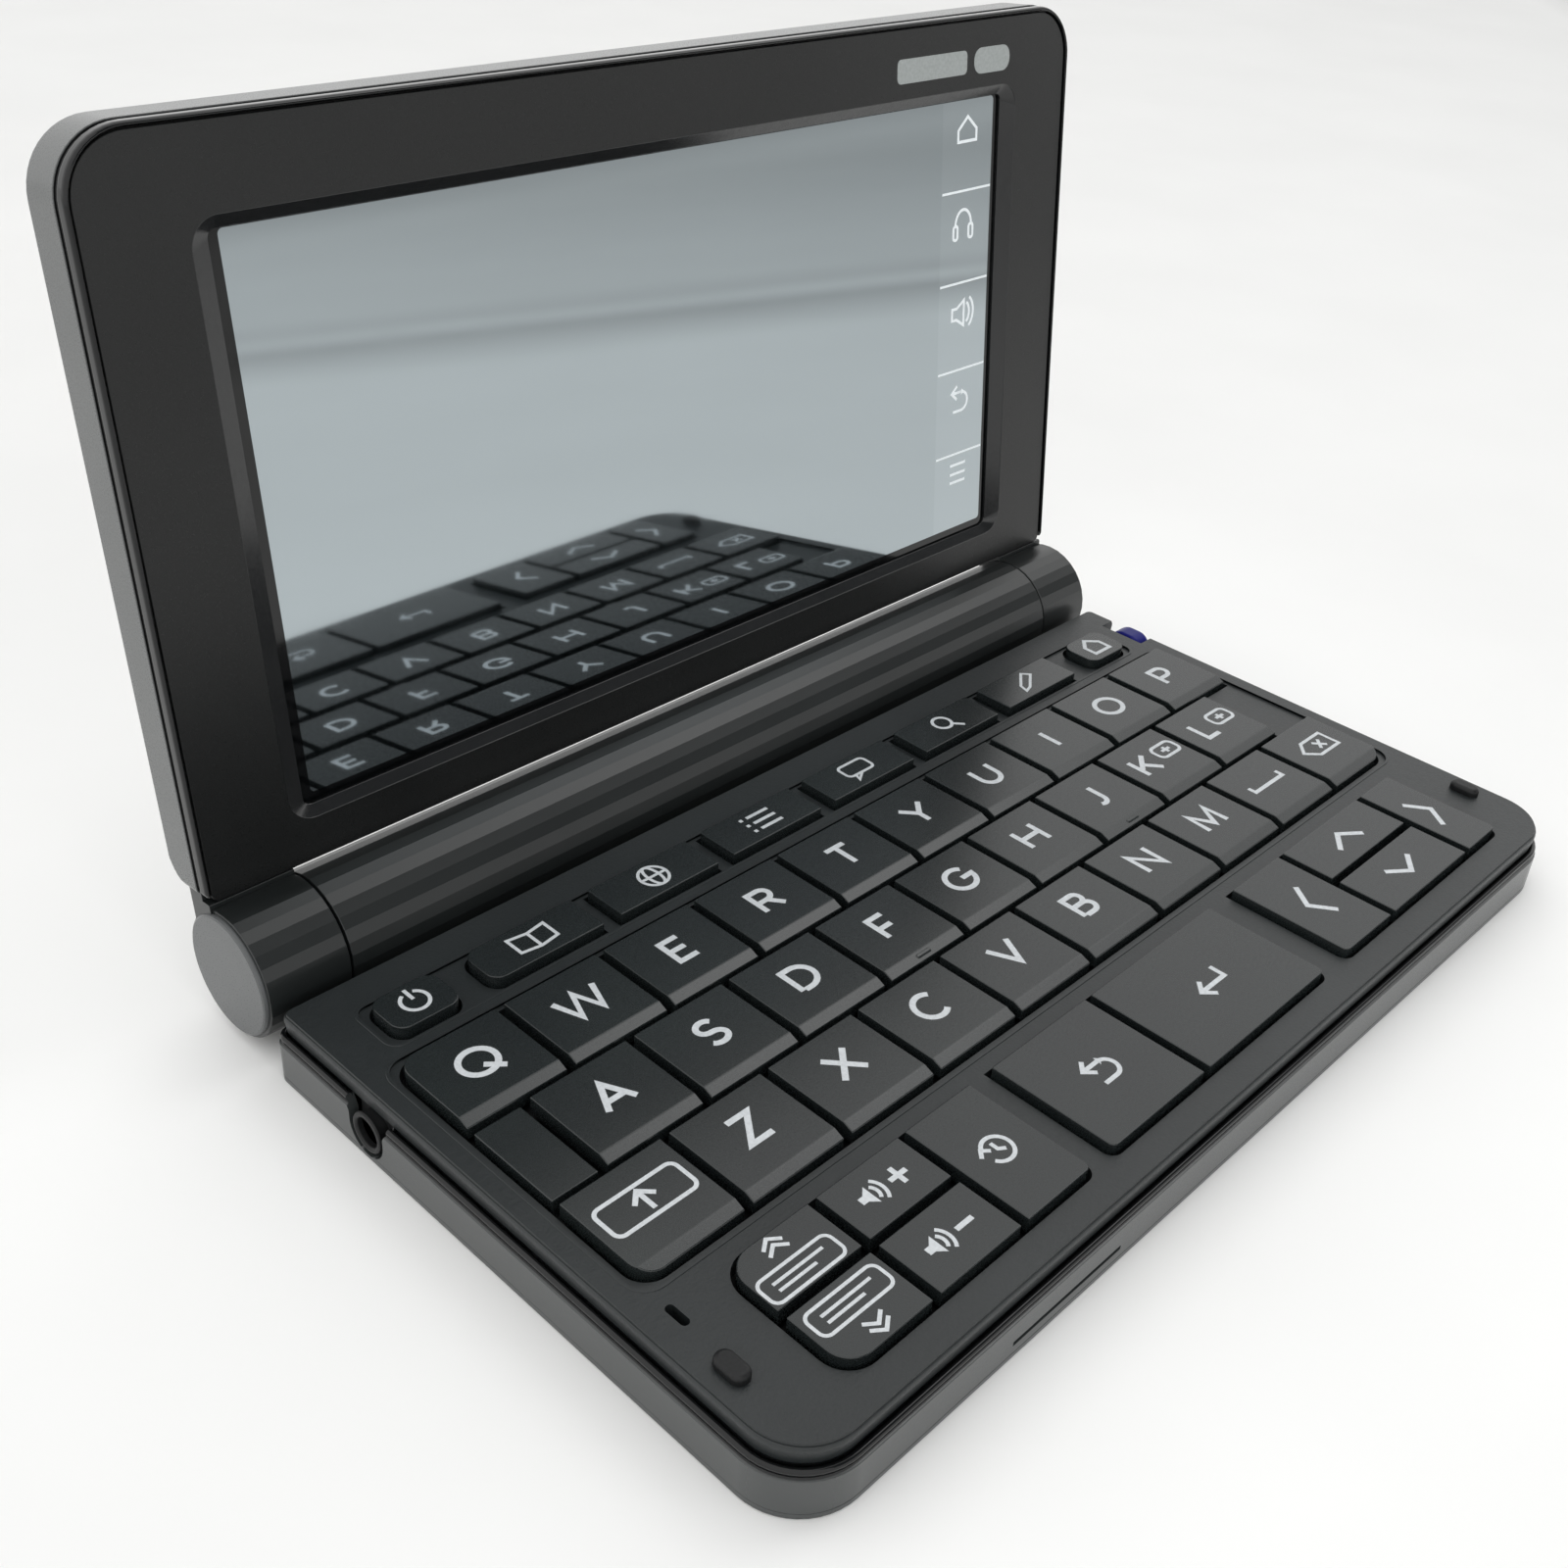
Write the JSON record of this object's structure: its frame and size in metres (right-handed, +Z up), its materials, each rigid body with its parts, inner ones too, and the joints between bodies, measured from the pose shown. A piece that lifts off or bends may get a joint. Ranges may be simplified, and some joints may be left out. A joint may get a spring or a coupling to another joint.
{
  "type": "electronic dictionary",
  "caption": "Clamshell pocket electronic dictionary: sprung letter keyboard, leaning touch-screen lid on a battery barrel hinge, slide-out stylus.",
  "frame": {"origin": "on the table, under the middle of the bounding box of the dictionary as it stands open", "axes": "+X along the hinge towards the stylus, +Y from the keyboard towards the lid, +Z up out of the keys"},
  "size_m": [0.148, 0.1058, 0.0961],
  "materials": {
    "case_shell": "satin charcoal with a fine moulded texture",
    "deck": "matte fine grain",
    "key": "smooth semi-matte",
    "bezel": "matte black with a glossy bevel round the window",
    "barrel": "satin facets",
    "glass": "glossy touch panel over an unlit display",
    "blue": "glossy blue",
    "steel": "ground",
    "board": "green solder mask with bare contact pads",
    "cell": "plain sleeve, bare ends"
  },
  "bodies": {
    "base": {"lower_case": "case_shell", "keyboard_deck": "deck", "circuit_board": "board", "headphone_jack": "key", "hinge_barrel": "barrel", "battery_cells": "cell", "friction_hinge": "steel"},
    "lid": {"lid_back_cover": "case_shell", "lid_bezel": "bezel", "touch_screen": "glass"},
    "stylus": {"stylus": "blue"},
    "battery_cover": {"battery_cover": "barrel"},
    "key_power": {"key_power": "key"},
    "key_function_1": {"key_function_1": "key"},
    "key_function_2": {"key_function_2": "key"},
    "key_function_3": {"key_function_3": "key"},
    "key_function_4": {"key_function_4": "key"},
    "key_function_5": {"key_function_5": "key"},
    "key_function_6": {"key_function_6": "key"},
    "key_home": {"key_home": "key"},
    "key_q": {"key_q": "key"},
    "key_w": {"key_w": "key"},
    "key_e": {"key_e": "key"},
    "key_r": {"key_r": "key"},
    "key_t": {"key_t": "key"},
    "key_y": {"key_y": "key"},
    "key_u": {"key_u": "key"},
    "key_i": {"key_i": "key"},
    "key_o": {"key_o": "key"},
    "key_p": {"key_p": "key"},
    "key_a": {"key_a": "key"},
    "key_s": {"key_s": "key"},
    "key_d": {"key_d": "key"},
    "key_f": {"key_f": "key"},
    "key_g": {"key_g": "key"},
    "key_h": {"key_h": "key"},
    "key_j": {"key_j": "key"},
    "key_k": {"key_k": "key"},
    "key_l": {"key_l": "key"},
    "key_shift": {"key_shift": "key"},
    "key_z": {"key_z": "key"},
    "key_x": {"key_x": "key"},
    "key_c": {"key_c": "key"},
    "key_v": {"key_v": "key"},
    "key_b": {"key_b": "key"},
    "key_n": {"key_n": "key"},
    "key_m": {"key_m": "key"},
    "key_space": {"key_space": "key"},
    "key_delete": {"key_delete": "key"},
    "key_previous": {"key_previous": "key"},
    "key_next": {"key_next": "key"},
    "key_volume_up": {"key_volume_up": "key"},
    "key_volume_down": {"key_volume_down": "key"},
    "key_history": {"key_history": "key"},
    "key_back": {"key_back": "key"},
    "key_enter": {"key_enter": "key"},
    "key_left": {"key_left": "key"},
    "key_up": {"key_up": "key"},
    "key_down": {"key_down": "key"},
    "key_right": {"key_right": "key"}
  },
  "joints": [
    {"name": "lid_hinge", "type": "hinge", "parent": "base", "child": "lid", "pos_m": [0, 0.03514, 0.0087], "axis": [1, 0, 0], "range_deg": [-54, 96]},
    {"name": "stylus_slide", "type": "slide", "parent": "base", "child": "stylus", "axis": [1, 0, 0], "range_m": [0, 0.06]},
    {"name": "battery_cover_slide", "type": "slide", "parent": "base", "child": "battery_cover", "axis": [0, 1, 0], "range_m": [0, 0.015]},
    {"name": "key_power_press", "type": "slide", "parent": "base", "child": "key_power", "axis": [0, 0, -1], "range_m": [0, 0.0009], "stiffness_N_per_m": 600, "springref_m": -0.0002},
    {"name": "key_function_1_press", "type": "slide", "parent": "base", "child": "key_function_1", "axis": [0, 0, -1], "range_m": [0, 0.0009], "stiffness_N_per_m": 600, "springref_m": -0.0002},
    {"name": "key_function_2_press", "type": "slide", "parent": "base", "child": "key_function_2", "axis": [0, 0, -1], "range_m": [0, 0.0009], "stiffness_N_per_m": 600, "springref_m": -0.0002},
    {"name": "key_function_3_press", "type": "slide", "parent": "base", "child": "key_function_3", "axis": [0, 0, -1], "range_m": [0, 0.0009], "stiffness_N_per_m": 600, "springref_m": -0.0002},
    {"name": "key_function_4_press", "type": "slide", "parent": "base", "child": "key_function_4", "axis": [0, 0, -1], "range_m": [0, 0.0009], "stiffness_N_per_m": 600, "springref_m": -0.0002},
    {"name": "key_function_5_press", "type": "slide", "parent": "base", "child": "key_function_5", "axis": [0, 0, -1], "range_m": [0, 0.0009], "stiffness_N_per_m": 600, "springref_m": -0.0002},
    {"name": "key_function_6_press", "type": "slide", "parent": "base", "child": "key_function_6", "axis": [0, 0, -1], "range_m": [0, 0.0009], "stiffness_N_per_m": 600, "springref_m": -0.0002},
    {"name": "key_home_press", "type": "slide", "parent": "base", "child": "key_home", "axis": [0, 0, -1], "range_m": [0, 0.0009], "stiffness_N_per_m": 600, "springref_m": -0.0002},
    {"name": "key_q_press", "type": "slide", "parent": "base", "child": "key_q", "axis": [0, 0, -1], "range_m": [0, 0.0009], "stiffness_N_per_m": 600, "springref_m": -0.0002},
    {"name": "key_w_press", "type": "slide", "parent": "base", "child": "key_w", "axis": [0, 0, -1], "range_m": [0, 0.0009], "stiffness_N_per_m": 600, "springref_m": -0.0002},
    {"name": "key_e_press", "type": "slide", "parent": "base", "child": "key_e", "axis": [0, 0, -1], "range_m": [0, 0.0009], "stiffness_N_per_m": 600, "springref_m": -0.0002},
    {"name": "key_r_press", "type": "slide", "parent": "base", "child": "key_r", "axis": [0, 0, -1], "range_m": [0, 0.0009], "stiffness_N_per_m": 600, "springref_m": -0.0002},
    {"name": "key_t_press", "type": "slide", "parent": "base", "child": "key_t", "axis": [0, 0, -1], "range_m": [0, 0.0009], "stiffness_N_per_m": 600, "springref_m": -0.0002},
    {"name": "key_y_press", "type": "slide", "parent": "base", "child": "key_y", "axis": [0, 0, -1], "range_m": [0, 0.0009], "stiffness_N_per_m": 600, "springref_m": -0.0002},
    {"name": "key_u_press", "type": "slide", "parent": "base", "child": "key_u", "axis": [0, 0, -1], "range_m": [0, 0.0009], "stiffness_N_per_m": 600, "springref_m": -0.0002},
    {"name": "key_i_press", "type": "slide", "parent": "base", "child": "key_i", "axis": [0, 0, -1], "range_m": [0, 0.0009], "stiffness_N_per_m": 600, "springref_m": -0.0002},
    {"name": "key_o_press", "type": "slide", "parent": "base", "child": "key_o", "axis": [0, 0, -1], "range_m": [0, 0.0009], "stiffness_N_per_m": 600, "springref_m": -0.0002},
    {"name": "key_p_press", "type": "slide", "parent": "base", "child": "key_p", "axis": [0, 0, -1], "range_m": [0, 0.0009], "stiffness_N_per_m": 600, "springref_m": -0.0002},
    {"name": "key_a_press", "type": "slide", "parent": "base", "child": "key_a", "axis": [0, 0, -1], "range_m": [0, 0.0009], "stiffness_N_per_m": 600, "springref_m": -0.0002},
    {"name": "key_s_press", "type": "slide", "parent": "base", "child": "key_s", "axis": [0, 0, -1], "range_m": [0, 0.0009], "stiffness_N_per_m": 600, "springref_m": -0.0002},
    {"name": "key_d_press", "type": "slide", "parent": "base", "child": "key_d", "axis": [0, 0, -1], "range_m": [0, 0.0009], "stiffness_N_per_m": 600, "springref_m": -0.0002},
    {"name": "key_f_press", "type": "slide", "parent": "base", "child": "key_f", "axis": [0, 0, -1], "range_m": [0, 0.0009], "stiffness_N_per_m": 600, "springref_m": -0.0002},
    {"name": "key_g_press", "type": "slide", "parent": "base", "child": "key_g", "axis": [0, 0, -1], "range_m": [0, 0.0009], "stiffness_N_per_m": 600, "springref_m": -0.0002},
    {"name": "key_h_press", "type": "slide", "parent": "base", "child": "key_h", "axis": [0, 0, -1], "range_m": [0, 0.0009], "stiffness_N_per_m": 600, "springref_m": -0.0002},
    {"name": "key_j_press", "type": "slide", "parent": "base", "child": "key_j", "axis": [0, 0, -1], "range_m": [0, 0.0009], "stiffness_N_per_m": 600, "springref_m": -0.0002},
    {"name": "key_k_press", "type": "slide", "parent": "base", "child": "key_k", "axis": [0, 0, -1], "range_m": [0, 0.0009], "stiffness_N_per_m": 600, "springref_m": -0.0002},
    {"name": "key_l_press", "type": "slide", "parent": "base", "child": "key_l", "axis": [0, 0, -1], "range_m": [0, 0.0009], "stiffness_N_per_m": 600, "springref_m": -0.0002},
    {"name": "key_shift_press", "type": "slide", "parent": "base", "child": "key_shift", "axis": [0, 0, -1], "range_m": [0, 0.0009], "stiffness_N_per_m": 600, "springref_m": -0.0002},
    {"name": "key_z_press", "type": "slide", "parent": "base", "child": "key_z", "axis": [0, 0, -1], "range_m": [0, 0.0009], "stiffness_N_per_m": 600, "springref_m": -0.0002},
    {"name": "key_x_press", "type": "slide", "parent": "base", "child": "key_x", "axis": [0, 0, -1], "range_m": [0, 0.0009], "stiffness_N_per_m": 600, "springref_m": -0.0002},
    {"name": "key_c_press", "type": "slide", "parent": "base", "child": "key_c", "axis": [0, 0, -1], "range_m": [0, 0.0009], "stiffness_N_per_m": 600, "springref_m": -0.0002},
    {"name": "key_v_press", "type": "slide", "parent": "base", "child": "key_v", "axis": [0, 0, -1], "range_m": [0, 0.0009], "stiffness_N_per_m": 600, "springref_m": -0.0002},
    {"name": "key_b_press", "type": "slide", "parent": "base", "child": "key_b", "axis": [0, 0, -1], "range_m": [0, 0.0009], "stiffness_N_per_m": 600, "springref_m": -0.0002},
    {"name": "key_n_press", "type": "slide", "parent": "base", "child": "key_n", "axis": [0, 0, -1], "range_m": [0, 0.0009], "stiffness_N_per_m": 600, "springref_m": -0.0002},
    {"name": "key_m_press", "type": "slide", "parent": "base", "child": "key_m", "axis": [0, 0, -1], "range_m": [0, 0.0009], "stiffness_N_per_m": 600, "springref_m": -0.0002},
    {"name": "key_space_press", "type": "slide", "parent": "base", "child": "key_space", "axis": [0, 0, -1], "range_m": [0, 0.0009], "stiffness_N_per_m": 600, "springref_m": -0.0002},
    {"name": "key_delete_press", "type": "slide", "parent": "base", "child": "key_delete", "axis": [0, 0, -1], "range_m": [0, 0.0009], "stiffness_N_per_m": 600, "springref_m": -0.0002},
    {"name": "key_previous_press", "type": "slide", "parent": "base", "child": "key_previous", "axis": [0, 0, -1], "range_m": [0, 0.0009], "stiffness_N_per_m": 600, "springref_m": -0.0002},
    {"name": "key_next_press", "type": "slide", "parent": "base", "child": "key_next", "axis": [0, 0, -1], "range_m": [0, 0.0009], "stiffness_N_per_m": 600, "springref_m": -0.0002},
    {"name": "key_volume_up_press", "type": "slide", "parent": "base", "child": "key_volume_up", "axis": [0, 0, -1], "range_m": [0, 0.0009], "stiffness_N_per_m": 600, "springref_m": -0.0002},
    {"name": "key_volume_down_press", "type": "slide", "parent": "base", "child": "key_volume_down", "axis": [0, 0, -1], "range_m": [0, 0.0009], "stiffness_N_per_m": 600, "springref_m": -0.0002},
    {"name": "key_history_press", "type": "slide", "parent": "base", "child": "key_history", "axis": [0, 0, -1], "range_m": [0, 0.0009], "stiffness_N_per_m": 600, "springref_m": -0.0002},
    {"name": "key_back_press", "type": "slide", "parent": "base", "child": "key_back", "axis": [0, 0, -1], "range_m": [0, 0.0009], "stiffness_N_per_m": 600, "springref_m": -0.0002},
    {"name": "key_enter_press", "type": "slide", "parent": "base", "child": "key_enter", "axis": [0, 0, -1], "range_m": [0, 0.0009], "stiffness_N_per_m": 600, "springref_m": -0.0002},
    {"name": "key_left_press", "type": "slide", "parent": "base", "child": "key_left", "axis": [0, 0, -1], "range_m": [0, 0.0009], "stiffness_N_per_m": 600, "springref_m": -0.0002},
    {"name": "key_up_press", "type": "slide", "parent": "base", "child": "key_up", "axis": [0, 0, -1], "range_m": [0, 0.0009], "stiffness_N_per_m": 600, "springref_m": -0.0002},
    {"name": "key_down_press", "type": "slide", "parent": "base", "child": "key_down", "axis": [0, 0, -1], "range_m": [0, 0.0009], "stiffness_N_per_m": 600, "springref_m": -0.0002},
    {"name": "key_right_press", "type": "slide", "parent": "base", "child": "key_right", "axis": [0, 0, -1], "range_m": [0, 0.0009], "stiffness_N_per_m": 600, "springref_m": -0.0002}
  ]
}
